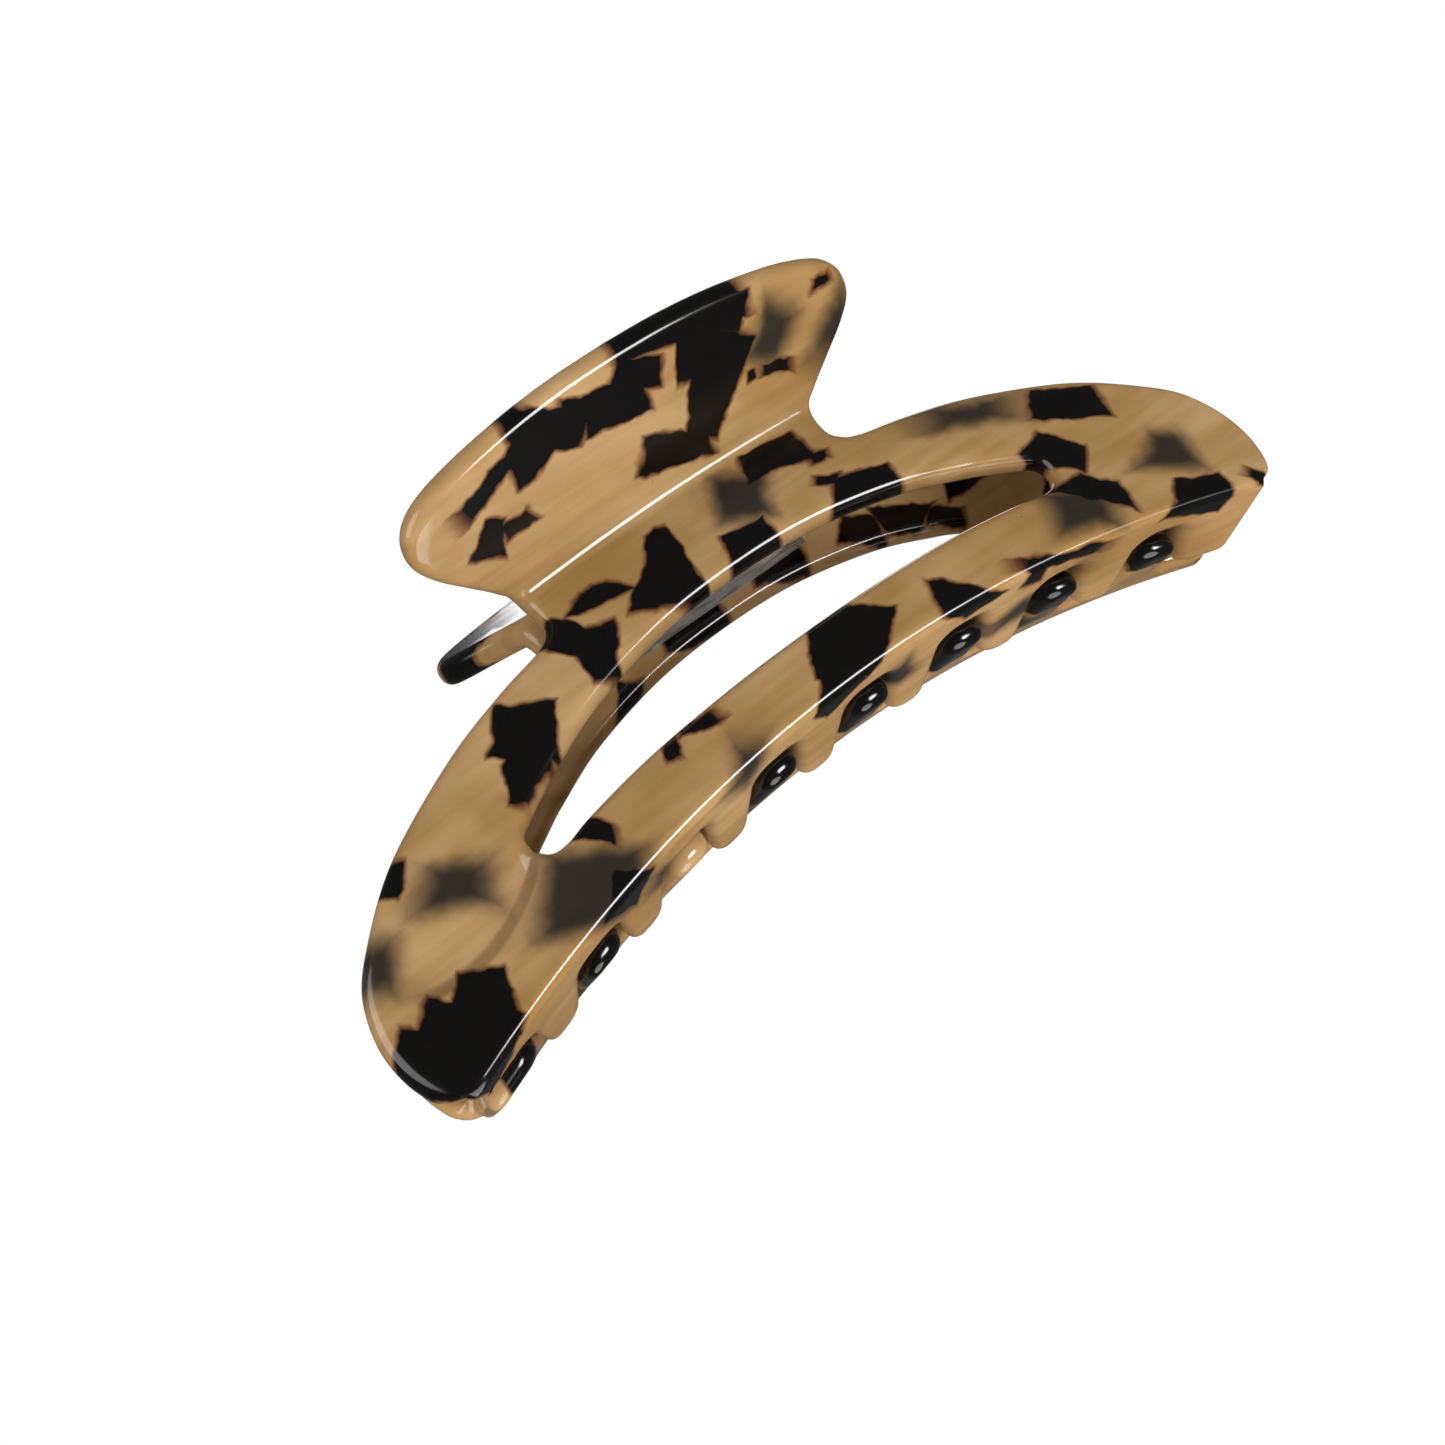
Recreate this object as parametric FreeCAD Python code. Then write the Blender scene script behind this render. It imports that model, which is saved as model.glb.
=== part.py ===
import FreeCAD, Part
import math
import os

os.makedirs("parts", exist_ok=True)
Vec = FreeCAD.Vector

# A large spring hair claw: two identical bent acetate jaws on a sprung metal hinge.
# X runs along the clip, the front jaw is at -Y, +Z is up. Z = 0 is the table the closed clip
# stands on, and the hinge axis lies on the plane Y = 0.

# ---- overall sizes ----
clip_length = 112.4        # across the widest part of the shoulders
body_drop = 29.2           # neck crease down to the fold, at the middle
sheet = 3.2                # acetate sheet thickness
neck_room = 3.2            # inner face at the neck crease, from the middle plane
fold_half = 10.9           # outer face at the fold, from the middle plane
fold_inset = 3.7           # end of the fold, inwards from the widest part
plan_bow = 2.63            # the wall curves in by this much from its middle to its ends
arch_rise = 10.97          # the tooth panel drops by this much from its middle to its ends

# ---- handle ----
handle_lean = 60.0         # degrees away from upright
handle_reach = 18.2        # crease to the outer edge, at the middle
handle_corner_x = 24.1     # centre of the rounded corner, from the middle
handle_corner_reach = 11.6
handle_corner_r = 3.6
neck_w = 19.2              # half width of the neck
neck_round = 2.6           # hollow between the neck and the shoulder
neck_round_drop = 3.2      # its centre, below the neck crease

# ---- slot in the body ----
upper_band = 11.7          # neck crease down to the top of the slot
lower_band = 7.4           # fold up to the bottom of the slot
slot_end_r = 2.2
slot_end_inset = 23.8      # centre of the round end, inwards from the widest part
slot_end_rise = 6.7        # the same centre, above the fold

# ---- teeth ----
tooth_count = 8            # on each jaw; the two combs mesh half a pitch apart
panel_dip = 8.3                # degrees below level, going inwards
tip_clear = 0.4                # tooth tips stop this far from the other jaw's notch bottoms
tooth_root = 4.6               # left between the outer face and the notch bottoms
notch_headroom = 1.2           # notches are cut this far above the panel
tooth_root_part = 0.572        # width of a tooth at its root, in half pitches
tooth_side_gap = 0.4           # between the teeth of the two jaws
tooth_tip_flat = 0.2           # left between the two roundings of a tip, each side
notch_r = 1.5
panel_end_inset = 1.2          # end tooth side, from the fold corner

# ---- hinge ----
pivot_drop = 5.8           # hinge axis below the neck crease
pin_d = 2.0
running_gap = 0.04         # radial, back knuckles on the pin
knuckle_wall = 1.1
knuckle_w = 2.6
knuckle_side_gap = 0.2
coil_half = 7.6            # space kept for the spring, each side of the middle
leaf_t = 0.8
leaf_sink = 0.5            # depth of the flat seat in the jaw
leaf_top = 2.0             # leaf top edge below the crease
leaf_h = 7.2
seat_gap = 0.1
web_h = 2.6
pin_head_rim = 0.6
pin_head_t = 0.8
anchor_d = 1.5
anchor_head_d = 2.8
anchor_head_t = 0.5
anchor_depth = 1.8         # into the acetate below the seat
anchor_x = 5.0

# ---- spring ----
wire_d = 0.8
coil_play = 0.5            # radial, coil round the pin
coil_whole_turns = 9
leg_rise = 2.8
leg_clear = 0.1

# ---- sizes that follow ----
half = clip_length / 2.0
plan_radius = half * half / (2.0 * plan_bow)
arch_radius = half * half / (2.0 * arch_rise)
end_x = half - fold_inset                 # end of the fold
neck_half = neck_room + sheet             # outer face at the neck crease
pitch = 2.0 * end_x / (tooth_count + 1.0 / 3.0)
tooth_root_half = tooth_root_part * pitch / 2.0
tooth_tip_half = pitch / 2.0 - tooth_root_half - tooth_side_gap
tooth_tip_r = tooth_tip_half - tooth_tip_flat
knuckle_d = pin_d + 2.0 * knuckle_wall
pin_head_d = pin_d + 2.0 * pin_head_rim
coil_mean_r = pin_d / 2.0 + coil_play + wire_d / 2.0
wall_lean = math.degrees(math.atan2(fold_half - neck_half, body_drop))
dip = math.radians(panel_dip)
pivot_z = -pivot_drop                     # heights are from the neck crease until the last step
far = 4.0 * clip_length


def frame(y, z, lean):
    """Local frame: X along the clip, Z up the sheet, Y through the sheet towards the middle."""
    return FreeCAD.Placement(Vec(0, y, z), FreeCAD.Rotation(Vec(1, 0, 0), lean))


wall_frame = frame(-neck_half, 0.0, -wall_lean)
handle_frame = frame(-neck_half, 0.0, handle_lean)
panel_frame = frame(-fold_half, -body_drop, 90.0 - panel_dip)


def place(shape, placement):
    moved = shape.copy()
    moved.Placement = placement.multiply(moved.Placement)
    return moved


def rounded_wire(corners):
    """Closed wire in the XZ plane through (x, z, radius) corners, each corner rounded."""
    count = len(corners)
    starts = []
    ends = []
    mids = []
    for i in range(count):
        px, pz, r = corners[i]
        here = Vec(px, 0, pz)
        before = Vec(corners[i - 1][0], 0, corners[i - 1][1])
        after = Vec(corners[(i + 1) % count][0], 0, corners[(i + 1) % count][1])
        to_before = (before - here).normalize()
        to_after = (after - here).normalize()
        if r <= 0:
            starts.append(here)
            ends.append(here)
            mids.append(None)
            continue
        half_angle = to_before.getAngle(to_after) / 2.0
        run = r / math.tan(half_angle)
        bisector = (to_before + to_after).normalize()
        centre = here + bisector * (r / math.sin(half_angle))
        starts.append(here + to_before * run)
        ends.append(here + to_after * run)
        mids.append(centre - bisector * r)
    edges = []
    for i in range(count):
        if mids[i] is not None:
            edges.append(Part.Arc(starts[i], mids[i], ends[i]).toShape())
        following = starts[(i + 1) % count]
        if (following - ends[i]).Length > 1e-6:
            edges.append(Part.makeLine(ends[i], following))
    return Part.Wire(edges)


def prism(wire, y_from, y_to):
    """Solid made by pushing a wire in the XZ plane from one Y to another."""
    face = Part.Face(wire)
    face.translate(Vec(0, y_from, 0))
    return face.extrude(Vec(0, y_to - y_from, 0))


def long_cylinder(radius, y_axis):
    """Cylinder along the local Z of a frame, with its axis at the given local Y."""
    return Part.makeCylinder(radius, 2 * far, Vec(0, y_axis, -far), Vec(0, 0, 1))


def wall_outline():
    """Outline of the jaw wall, from the neck down past the fold."""
    run_off = body_drop * 2.2
    arc_cx = neck_w + neck_round
    arc_cz = -neck_round_drop
    swing = math.radians(-105.0)
    middle = math.radians(-142.5)
    arc_end = Vec(arc_cx + neck_round * math.cos(swing), 0, arc_cz + neck_round * math.sin(swing))
    arc_mid = Vec(arc_cx + neck_round * math.cos(middle), 0, arc_cz + neck_round * math.sin(middle))
    arc_start = Vec(neck_w, 0, arc_cz)
    shares = [(0.480, 0.260), (0.605, 0.329), (0.738, 0.449), (0.827, 0.545), (0.911, 0.685),
              (0.9715, 0.822), (1.0, 0.986), (0.995, 1.144), (0.967, 1.285), (end_x / half, 1.375)]
    shoulder = [arc_end]
    for sx, sz in shares:
        shoulder.append(Vec(sx * half, 0, -sz * body_drop))
    curve = Part.BSplineCurve()
    curve.interpolate(shoulder)
    top = Vec(neck_w, 0, handle_reach)
    foot = Vec(end_x * 0.93, 0, -run_off)
    right = [Part.makeLine(top, arc_start), Part.Arc(arc_start, arc_mid, arc_end).toShape(),
             curve.toShape(), Part.makeLine(shoulder[-1], foot)]
    left = []
    for edge in right:
        left.append(edge.mirror(Vec(0, 0, 0), Vec(1, 0, 0)))
    across_top = Part.makeLine(Vec(-top.x, 0, top.z), top)
    across_foot = Part.makeLine(foot, Vec(-foot.x, 0, foot.z))
    chain = Part.sortEdges([across_top] + right + [across_foot] + left)
    return Part.Wire(chain[0])


def slot_outline():
    """Crescent slot with round ends."""
    cx = half - slot_end_inset
    cz = slot_end_rise - body_drop
    top = -upper_band
    low = lower_band - body_drop
    upper_end = Vec(cx + 0.41 * slot_end_r, 0, cz + 0.91 * slot_end_r)
    outer = Vec(cx + 0.956 * slot_end_r, 0, cz - 0.292 * slot_end_r)
    lower_end = Vec(cx - 0.17 * slot_end_r, 0, cz - 0.985 * slot_end_r)
    edges = [Part.Arc(Vec(-upper_end.x, 0, upper_end.z), Vec(0, 0, top), upper_end).toShape(),
             Part.Arc(upper_end, outer, lower_end).toShape(),
             Part.Arc(lower_end, Vec(0, 0, low), Vec(-lower_end.x, 0, lower_end.z)).toShape(),
             Part.Arc(Vec(-lower_end.x, 0, lower_end.z), Vec(-outer.x, 0, outer.z),
                      Vec(-upper_end.x, 0, upper_end.z)).toShape()]
    return Part.Wire(edges)


def handle_outline():
    """Fan-shaped handle, wider at the free edge."""
    cx = handle_corner_x
    cz = handle_corner_reach
    r = handle_corner_r
    neck = Vec(neck_w, 0, 0.04 * handle_reach)
    reach = math.hypot(cx - neck.x, cz - neck.z)
    side = math.atan2(cz - neck.z, cx - neck.x) - math.asin(r / reach)
    touch = Vec(cx + r * math.sin(side), 0, cz - r * math.cos(side))
    crown = Vec(cx + 0.12 * r, 0, cz + 0.993 * r)
    bulge = Vec(cx + 0.86 * r, 0, cz + 0.51 * r)
    foot = Vec(neck_w, 0, -0.5 * handle_reach)
    right = [Part.makeLine(foot, neck), Part.makeLine(neck, touch),
             Part.Arc(touch, bulge, crown).toShape()]
    left = []
    for edge in right:
        left.append(edge.mirror(Vec(0, 0, 0), Vec(1, 0, 0)))
    top = Part.Arc(crown, Vec(0, 0, handle_reach), Vec(-crown.x, 0, crown.z)).toShape()
    base = Part.makeLine(Vec(-foot.x, 0, foot.z), foot)
    chain = Part.sortEdges([base] + right + [top] + left)
    return Part.Wire(chain[0])


def bow(x):
    """How far a jaw wall has curved in towards the middle at a place along the clip."""
    return x * x / (2.0 * plan_radius)


def arch_shift(x):
    """How far the arched panel lies outwards of its own origin line."""
    return math.sin(dip) * x * x / (2.0 * arch_radius)


def fold_reach(x):
    """Distance of the fold from the panel's own origin line at a place along the clip."""
    return (bow(x) + arch_shift(x)) / math.cos(dip)


def tip_reach(x):
    """Distance from the same line to the tooth tips, just short of the other jaw's notches."""
    slant = 2.0 * sheet * math.sin(dip)
    room = 2.0 * fold_half - bow(x) - tooth_root - slant - tip_clear
    return (room + arch_shift(x)) / math.cos(dip)


def panel_outline():
    """Tooth panel seen square on: a strip along the fold with tapered teeth."""
    corners = [(-end_x, 2.0 * sheet, 0.0), (end_x, 2.0 * sheet, 0.0), (end_x, -fold_reach(end_x), 0.0)]
    first = -(tooth_count / 2.0 - 0.75) * pitch
    side_x = end_x - panel_end_inset
    for k in reversed(range(tooth_count)):
        x = first + k * pitch
        left_root = fold_reach(x - tooth_root_half) + tooth_root
        right_root = fold_reach(x + tooth_root_half) + tooth_root
        right_tip = x + tooth_tip_half
        if k < tooth_count - 1:
            corners.append((x + tooth_root_half, -right_root, notch_r))
        else:
            right_tip = max(right_tip, side_x)
        tip = tip_reach(max(tooth_tip_half - x, right_tip))
        corners.append((right_tip, -tip, tooth_tip_r))
        corners.append((x - tooth_tip_half, -tip, tooth_tip_r))
        corners.append((x - tooth_root_half, -left_root, notch_r))
    corners.append((-side_x, -fold_reach(side_x) - tooth_root, 0.5 * tooth_root))
    corners.append((-end_x, -fold_reach(end_x), 0.0))
    return rounded_wire(corners)


def leaf_seat():
    """Flat seat for the hinge leaf, in the wall's own frame."""
    width = 2.0 * (coil_half + 2.0 * (knuckle_w + knuckle_side_gap)) + 2.0 * seat_gap
    height = leaf_h + 2.0 * seat_gap
    start = Vec(-width / 2.0, sheet - leaf_sink, -leaf_top - leaf_h - seat_gap)
    return Part.makeBox(width, 2.0 * sheet, height, start)


def anchor_holes():
    holes = []
    for x in (-anchor_x, anchor_x):
        start = Vec(x, sheet - leaf_sink - anchor_depth, -leaf_top - leaf_h / 2.0)
        holes.append(Part.makeCylinder(anchor_d / 2.0, anchor_depth + leaf_sink, start, Vec(0, 1, 0)))
    return Part.makeCompound(holes)


def front_jaw():
    """One bent sheet: handle, slotted wall and toothed panel."""
    outer_wall = place(long_cylinder(plan_radius, plan_radius), wall_frame)
    inner_wall = place(long_cylinder(plan_radius - sheet, plan_radius), wall_frame)
    under_panel = place(long_cylinder(arch_radius, -arch_radius), panel_frame)
    over_panel = place(long_cylinder(arch_radius + sheet, -arch_radius), panel_frame)
    above_handle = place(Part.makeBox(far, far, far, Vec(-far / 2, sheet, -far / 2)), handle_frame)

    wall = place(prism(wall_outline(), -sheet, 8 * sheet), wall_frame)
    wall = wall.common(outer_wall).cut(inner_wall)
    wall = wall.cut(above_handle).cut(under_panel)

    handle = place(prism(handle_outline(), 0, sheet), handle_frame)
    handle = handle.cut(inner_wall)

    teeth = place(prism(panel_outline(), -8 * sheet, 3 * sheet), panel_frame)
    panel = teeth.common(over_panel).cut(under_panel).common(outer_wall)

    headroom = place(long_cylinder(arch_radius + sheet + notch_headroom, -arch_radius), panel_frame)
    notches = place(Part.makeBox(2 * end_x, 11 * sheet, 4 * fold_half,
                                 Vec(-end_x, -8 * sheet, -4 * fold_half)), panel_frame)
    notches = notches.common(headroom).cut(teeth)
    wall = wall.cut(notches)

    jaw = wall.fuse([handle, panel]).removeSplitter()
    jaw = jaw.cut(place(prism(slot_outline(), -4 * sheet, 8 * sheet), wall_frame))
    jaw = jaw.cut(place(leaf_seat(), wall_frame))
    jaw = jaw.cut(place(anchor_holes(), wall_frame))
    return jaw.removeSplitter()


def half_turn(shape):
    """The back half of the clip is the front half turned half way round the upright axis."""
    turned = shape.copy()
    turned.rotate(Vec(0, 0, 0), Vec(0, 0, 1), 180.0)
    return turned


def knuckle_starts():
    """Left ends of the two knuckles of the front leaf."""
    outer = -coil_half - 2.0 * knuckle_w - knuckle_side_gap
    inner = coil_half
    return (outer, inner)


def hinge_leaf(hole_d):
    """Flat leaf with two knuckles standing on webs."""
    width = 2.0 * (coil_half + 2.0 * (knuckle_w + knuckle_side_gap))
    inner_face = sheet - leaf_sink
    plate = Part.makeBox(width, leaf_t, leaf_h, Vec(-width / 2.0, inner_face, -leaf_top - leaf_h))
    leaf = place(plate, wall_frame)
    plate_y = -neck_half - pivot_drop * math.tan(math.radians(wall_lean)) + inner_face + 0.4 * leaf_t
    holes = []
    for x in knuckle_starts():
        barrel = Part.makeCylinder(knuckle_d / 2.0, knuckle_w, Vec(x, 0, pivot_z), Vec(1, 0, 0))
        web = Part.makeBox(knuckle_w, -plate_y, web_h, Vec(x, plate_y, pivot_z - web_h / 2.0))
        leaf = leaf.fuse([barrel, web])
        holes.append(Part.makeCylinder(hole_d / 2.0, knuckle_w + 2.0, Vec(x - 1.0, 0, pivot_z),
                                       Vec(1, 0, 0)))
    for x in (-anchor_x, anchor_x):
        start = Vec(x, inner_face - 1.0, -leaf_top - leaf_h / 2.0)
        hole = Part.makeCylinder(anchor_d / 2.0, leaf_t + 2.0, start, Vec(0, 1, 0))
        holes.append(place(hole, wall_frame))
    return leaf.cut(Part.makeCompound(holes)).removeSplitter()


def leaf_anchors():
    """Two headed pins that hold a leaf in its seat."""
    pins = []
    face = sheet - leaf_sink + leaf_t
    for x in (-anchor_x, anchor_x):
        z = -leaf_top - leaf_h / 2.0
        base = Vec(x, sheet - leaf_sink - anchor_depth, z)
        shank = Part.makeCylinder(anchor_d / 2.0, anchor_depth + leaf_t, base, Vec(0, 1, 0))
        head = Part.makeCylinder(anchor_head_d / 2.0, anchor_head_t, Vec(x, face, z), Vec(0, 1, 0))
        pins.append(place(shank.fuse(head).removeSplitter(), wall_frame))
    return Part.makeCompound(pins)


def hinge_pin():
    """Plain pin with a flat head pressed on each end."""
    span = coil_half + 2.0 * knuckle_w + knuckle_side_gap
    left = -span
    right = span + knuckle_side_gap
    shank = Part.makeCylinder(pin_d / 2.0, right - left, Vec(left, 0, pivot_z), Vec(1, 0, 0))
    head_a = Part.makeCylinder(pin_head_d / 2.0, pin_head_t, Vec(left - pin_head_t, 0, pivot_z),
                               Vec(1, 0, 0))
    head_b = Part.makeCylinder(pin_head_d / 2.0, pin_head_t, Vec(right, 0, pivot_z), Vec(1, 0, 0))
    return shank.fuse([head_a, head_b]).removeSplitter()


def torsion_spring():
    """Round-wire coil on the pin, with one straight leg up behind each leaf."""
    lean = math.radians(wall_lean)
    leaf_face = neck_half + (pivot_drop - leg_rise) * math.tan(lean)
    leaf_face = leaf_face - (sheet - leaf_sink + leaf_t) / math.cos(lean)
    leg_y = leaf_face - wire_d / 2.0 - leg_clear
    spread = math.hypot(leg_y, leg_rise)
    tilt = math.acos(coil_mean_r / spread) - math.atan2(leg_rise, leg_y)
    leg = (leg_rise + coil_mean_r * math.sin(tilt)) / math.cos(tilt)
    turns = coil_whole_turns + 0.5 - tilt / math.pi
    length = 2.0 * coil_half - 2.0 * wire_d
    pitch_x = length / turns
    helix = Part.makeHelix(pitch_x, length, coil_mean_r)
    helix.rotate(Vec(0, 0, 0), Vec(0, 0, 1), 180.0 + math.degrees(tilt))
    first_angle = math.pi + tilt
    last_angle = first_angle + 2.0 * math.pi * turns
    climb = pitch_x / (2.0 * math.pi)
    wires = []
    start = Vec(0, 0, 0)
    for angle, height, way in ((first_angle, 0.0, -1.0), (last_angle, length, 1.0)):
        root = Vec(coil_mean_r * math.cos(angle), coil_mean_r * math.sin(angle), height)
        along = Vec(-coil_mean_r * math.sin(angle), coil_mean_r * math.cos(angle), climb).normalize()
        tip = root + along * (way * leg)
        wires.append(Part.makeLine(root, tip))
        if way < 0:
            start = tip
            start_along = along
    path = Part.Wire([wires[0]] + helix.Edges + [wires[1]])
    ring = Part.Wire(Part.makeCircle(wire_d / 2.0, start, start_along))
    spring = path.makePipeShell([ring], True, False)
    spring.rotate(Vec(0, 0, 0), Vec(1, 1, 1), 120.0)
    spring.translate(Vec(-length / 2.0, 0, pivot_z))
    return spring


jaw = front_jaw()
anchors = leaf_anchors()
nodes = {
    "front_jaw": jaw,
    "back_jaw": half_turn(jaw),
    "front_hinge_leaf": hinge_leaf(pin_d),
    "back_hinge_leaf": half_turn(hinge_leaf(pin_d + 2.0 * running_gap)),
    "front_leaf_anchors": anchors,
    "back_leaf_anchors": half_turn(anchors),
    "hinge_pin": hinge_pin(),
    "torsion_spring": torsion_spring(),
}
lift = -jaw.optimalBoundingBox().ZMin
print("neck crease height", round(lift, 3), "hinge axis height", round(lift - pivot_drop, 3))
for name in nodes:
    shape = nodes[name]
    shape.translate(Vec(0, 0, lift))
    shape.exportStep("parts/" + name + ".step")
    box = shape.BoundBox
    print(name, "solids", len(shape.Solids), "valid", shape.isValid(), "volume", round(shape.Volume, 2),
          "box", [round(v, 2) for v in (box.XMin, box.XMax, box.YMin, box.YMax, box.ZMin, box.ZMax)])
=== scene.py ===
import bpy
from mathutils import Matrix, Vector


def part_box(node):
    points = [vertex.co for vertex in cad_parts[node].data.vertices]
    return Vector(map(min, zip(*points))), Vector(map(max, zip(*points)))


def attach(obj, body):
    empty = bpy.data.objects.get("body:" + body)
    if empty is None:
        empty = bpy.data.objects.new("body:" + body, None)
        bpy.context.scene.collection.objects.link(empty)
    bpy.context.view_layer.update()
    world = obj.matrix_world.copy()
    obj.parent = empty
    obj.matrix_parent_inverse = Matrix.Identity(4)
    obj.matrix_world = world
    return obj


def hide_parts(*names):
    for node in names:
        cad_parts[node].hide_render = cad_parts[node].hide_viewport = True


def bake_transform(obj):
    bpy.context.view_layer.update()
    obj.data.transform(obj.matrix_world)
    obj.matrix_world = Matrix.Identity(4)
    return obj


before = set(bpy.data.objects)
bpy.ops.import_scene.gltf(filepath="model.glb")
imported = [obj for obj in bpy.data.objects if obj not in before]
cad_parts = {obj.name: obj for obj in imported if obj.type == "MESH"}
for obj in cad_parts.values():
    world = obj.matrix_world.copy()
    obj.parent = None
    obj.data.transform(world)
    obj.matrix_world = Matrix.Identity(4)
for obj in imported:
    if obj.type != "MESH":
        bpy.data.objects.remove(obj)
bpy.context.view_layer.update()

import math

import bmesh
import bpy
from bpy.props import FloatProperty, FloatVectorProperty, IntProperty, PointerProperty
from bpy.types import Operator, Panel, PropertyGroup
from mathutils import Matrix, Vector

bl_info = {
    "name": "Hair Claw Clip",
    "version": (1, 0, 0),
    "blender": (4, 5, 0),
    "location": "3D View > Sidebar > Claw Clip",
    "description": "Builds the looks of a tortoiseshell acetate hair claw on its hinge",
    "category": "Object",
}

MM = 0.001
SHEET_MAP = "Sheet"          # flat pattern of a jaw: across and up the sheet before it is bent
SHEET_SPAN = 120.0           # mm of flat sheet that the map covers
SHEET_CENTRE = (0.5, 0.62)   # where the middle of the neck crease lies on the map

# Along a jaw, in mm
END_X = 52.5                 # end of the fold, from the middle
TOOTH_TIP_HALF = 2.3         # half the width of a tooth at its tip
TOOTH_ROOT_HALF = 3.6        # and at its root
TIP_ROUND = 2.15             # rounding of a tooth's tip corners
NOTCH_ROUND = 1.9            # rounding of the corners between the teeth
END_INSET = 1.2              # side of the end tooth, in from the end of the fold
FIRST_TOOTH = 0.75           # pitches from the comb's half width in to its first tooth
FOLD_ZONE_EXTRA = 1.1        # sheet beside the fold that is squeezed a little, past its corner
FOLD_SQUEEZE = 0.25          # how far the inner face moves at the fold's corner, as a share of the outer
END_EDGE = 0.6               # sheet left below the fold at the very end

# Soft ridge that runs on from the slot's end, on the flat sheet in mm
RIDGE_MIDDLE = 46.0          # its lowest place, left of the middle
RIDGE_LEVEL = -30.1
RIDGE_CURVE = 0.038          # rise to the square of the distance from there

# Steps along the outlines and across the broad faces, in mm
OUTLINE_STEP = 0.5
TOOTH_STEP = 0.45
COLUMN_STEP = 2


# ---------------------------------------------------------------- settings

class ClipSizes(PropertyGroup):
    """Sizes of the clip, as it is cut from sheet and bent."""

    sheet: FloatProperty(name="Sheet", description="Acetate sheet thickness",
                         default=3.2 * MM, min=2 * MM, max=5 * MM, unit="LENGTH")
    neck_half: FloatProperty(name="Neck", description="Outer face at the neck crease, from the middle plane",
                             default=6.4 * MM, unit="LENGTH")
    fold_half: FloatProperty(name="Fold", description="Outer face at the lower fold, from the middle plane",
                             default=10.9 * MM, unit="LENGTH")
    body_drop: FloatProperty(name="Body drop", description="Neck crease down to the fold",
                             default=29.2 * MM, unit="LENGTH")
    plan_radius: FloatProperty(name="Plan radius", description="The jaw wall bows outwards round this radius",
                               default=600 * MM, unit="LENGTH")
    arch_radius: FloatProperty(name="Arch radius", description="The toothed panel arches round this radius",
                               default=144 * MM, unit="LENGTH")
    handle_bow: FloatProperty(name="Handle bow", description="The handle is dished round this radius",
                              default=420 * MM, unit="LENGTH")
    handle_lean: FloatProperty(name="Handle lean", description="Handle away from upright",
                               default=math.radians(60.0), subtype="ANGLE", unit="ROTATION")
    panel_dip: FloatProperty(name="Panel dip", description="Toothed panel below level, going inwards",
                             default=math.radians(8.3), subtype="ANGLE", unit="ROTATION")
    crease_round: FloatProperty(name="Crease", description="Radius in the hollow of the neck crease",
                                default=1.7 * MM, unit="LENGTH")
    fold_round: FloatProperty(name="Fold round", description="Outer radius of the lower fold",
                              default=1.1 * MM, unit="LENGTH")
    rim_round: FloatProperty(name="Rim round", description="How far the tumbled rim is rounded in",
                             default=1.4 * MM, unit="LENGTH")
    teeth: IntProperty(name="Teeth", description="Teeth on each jaw", default=8, min=4, max=12)
    tooth_pitch: FloatProperty(name="Tooth pitch", description="Spacing of the teeth along a jaw",
                               default=12.6 * MM, unit="LENGTH")
    tooth_root: FloatProperty(name="Tooth root", description="Left between the fold and the notches",
                              default=4.6 * MM, unit="LENGTH")
    tip_clear: FloatProperty(name="Tip clearance", description="Tooth tips to the other jaw's notches",
                             default=0.4 * MM, unit="LENGTH")


class ClipColours(PropertyGroup):
    """Colours of the acetate and the metal."""

    honey: FloatVectorProperty(name="Honey", description="Body of the acetate", subtype="COLOR",
                               default=(0.290, 0.166, 0.054), min=0, max=1, size=3)
    cream: FloatVectorProperty(name="Cream", description="Paler clouds in the acetate", subtype="COLOR",
                               default=(0.44, 0.285, 0.135), min=0, max=1, size=3)
    # Black of the flakes, also of the painted shade on the back tooth tips
    flake_and_shade: FloatVectorProperty(name="Flake", description="Black flakes", subtype="COLOR",
                               default=(0.0025, 0.0022, 0.002), min=0, max=1, size=3)
    flake_edge: FloatVectorProperty(name="Flake edge", description="Thin edge of a flake", subtype="COLOR",
                                    default=(0.10, 0.028, 0.008), min=0, max=1, size=3)
    deep_flake: FloatVectorProperty(name="Deep flake", description="Flakes seen through the acetate",
                                    subtype="COLOR", default=(0.016, 0.015, 0.012), min=0, max=1, size=3)
    steel: FloatVectorProperty(name="Steel", description="Hinge leaves, pins and anchors", subtype="COLOR",
                               default=(0.56, 0.54, 0.50), min=0, max=1, size=3)
    wire: FloatVectorProperty(name="Wire", description="Spring wire", subtype="COLOR",
                              default=(0.62, 0.61, 0.60), min=0, max=1, size=3)


# ---------------------------------------------------------------- the bent sheet

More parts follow.
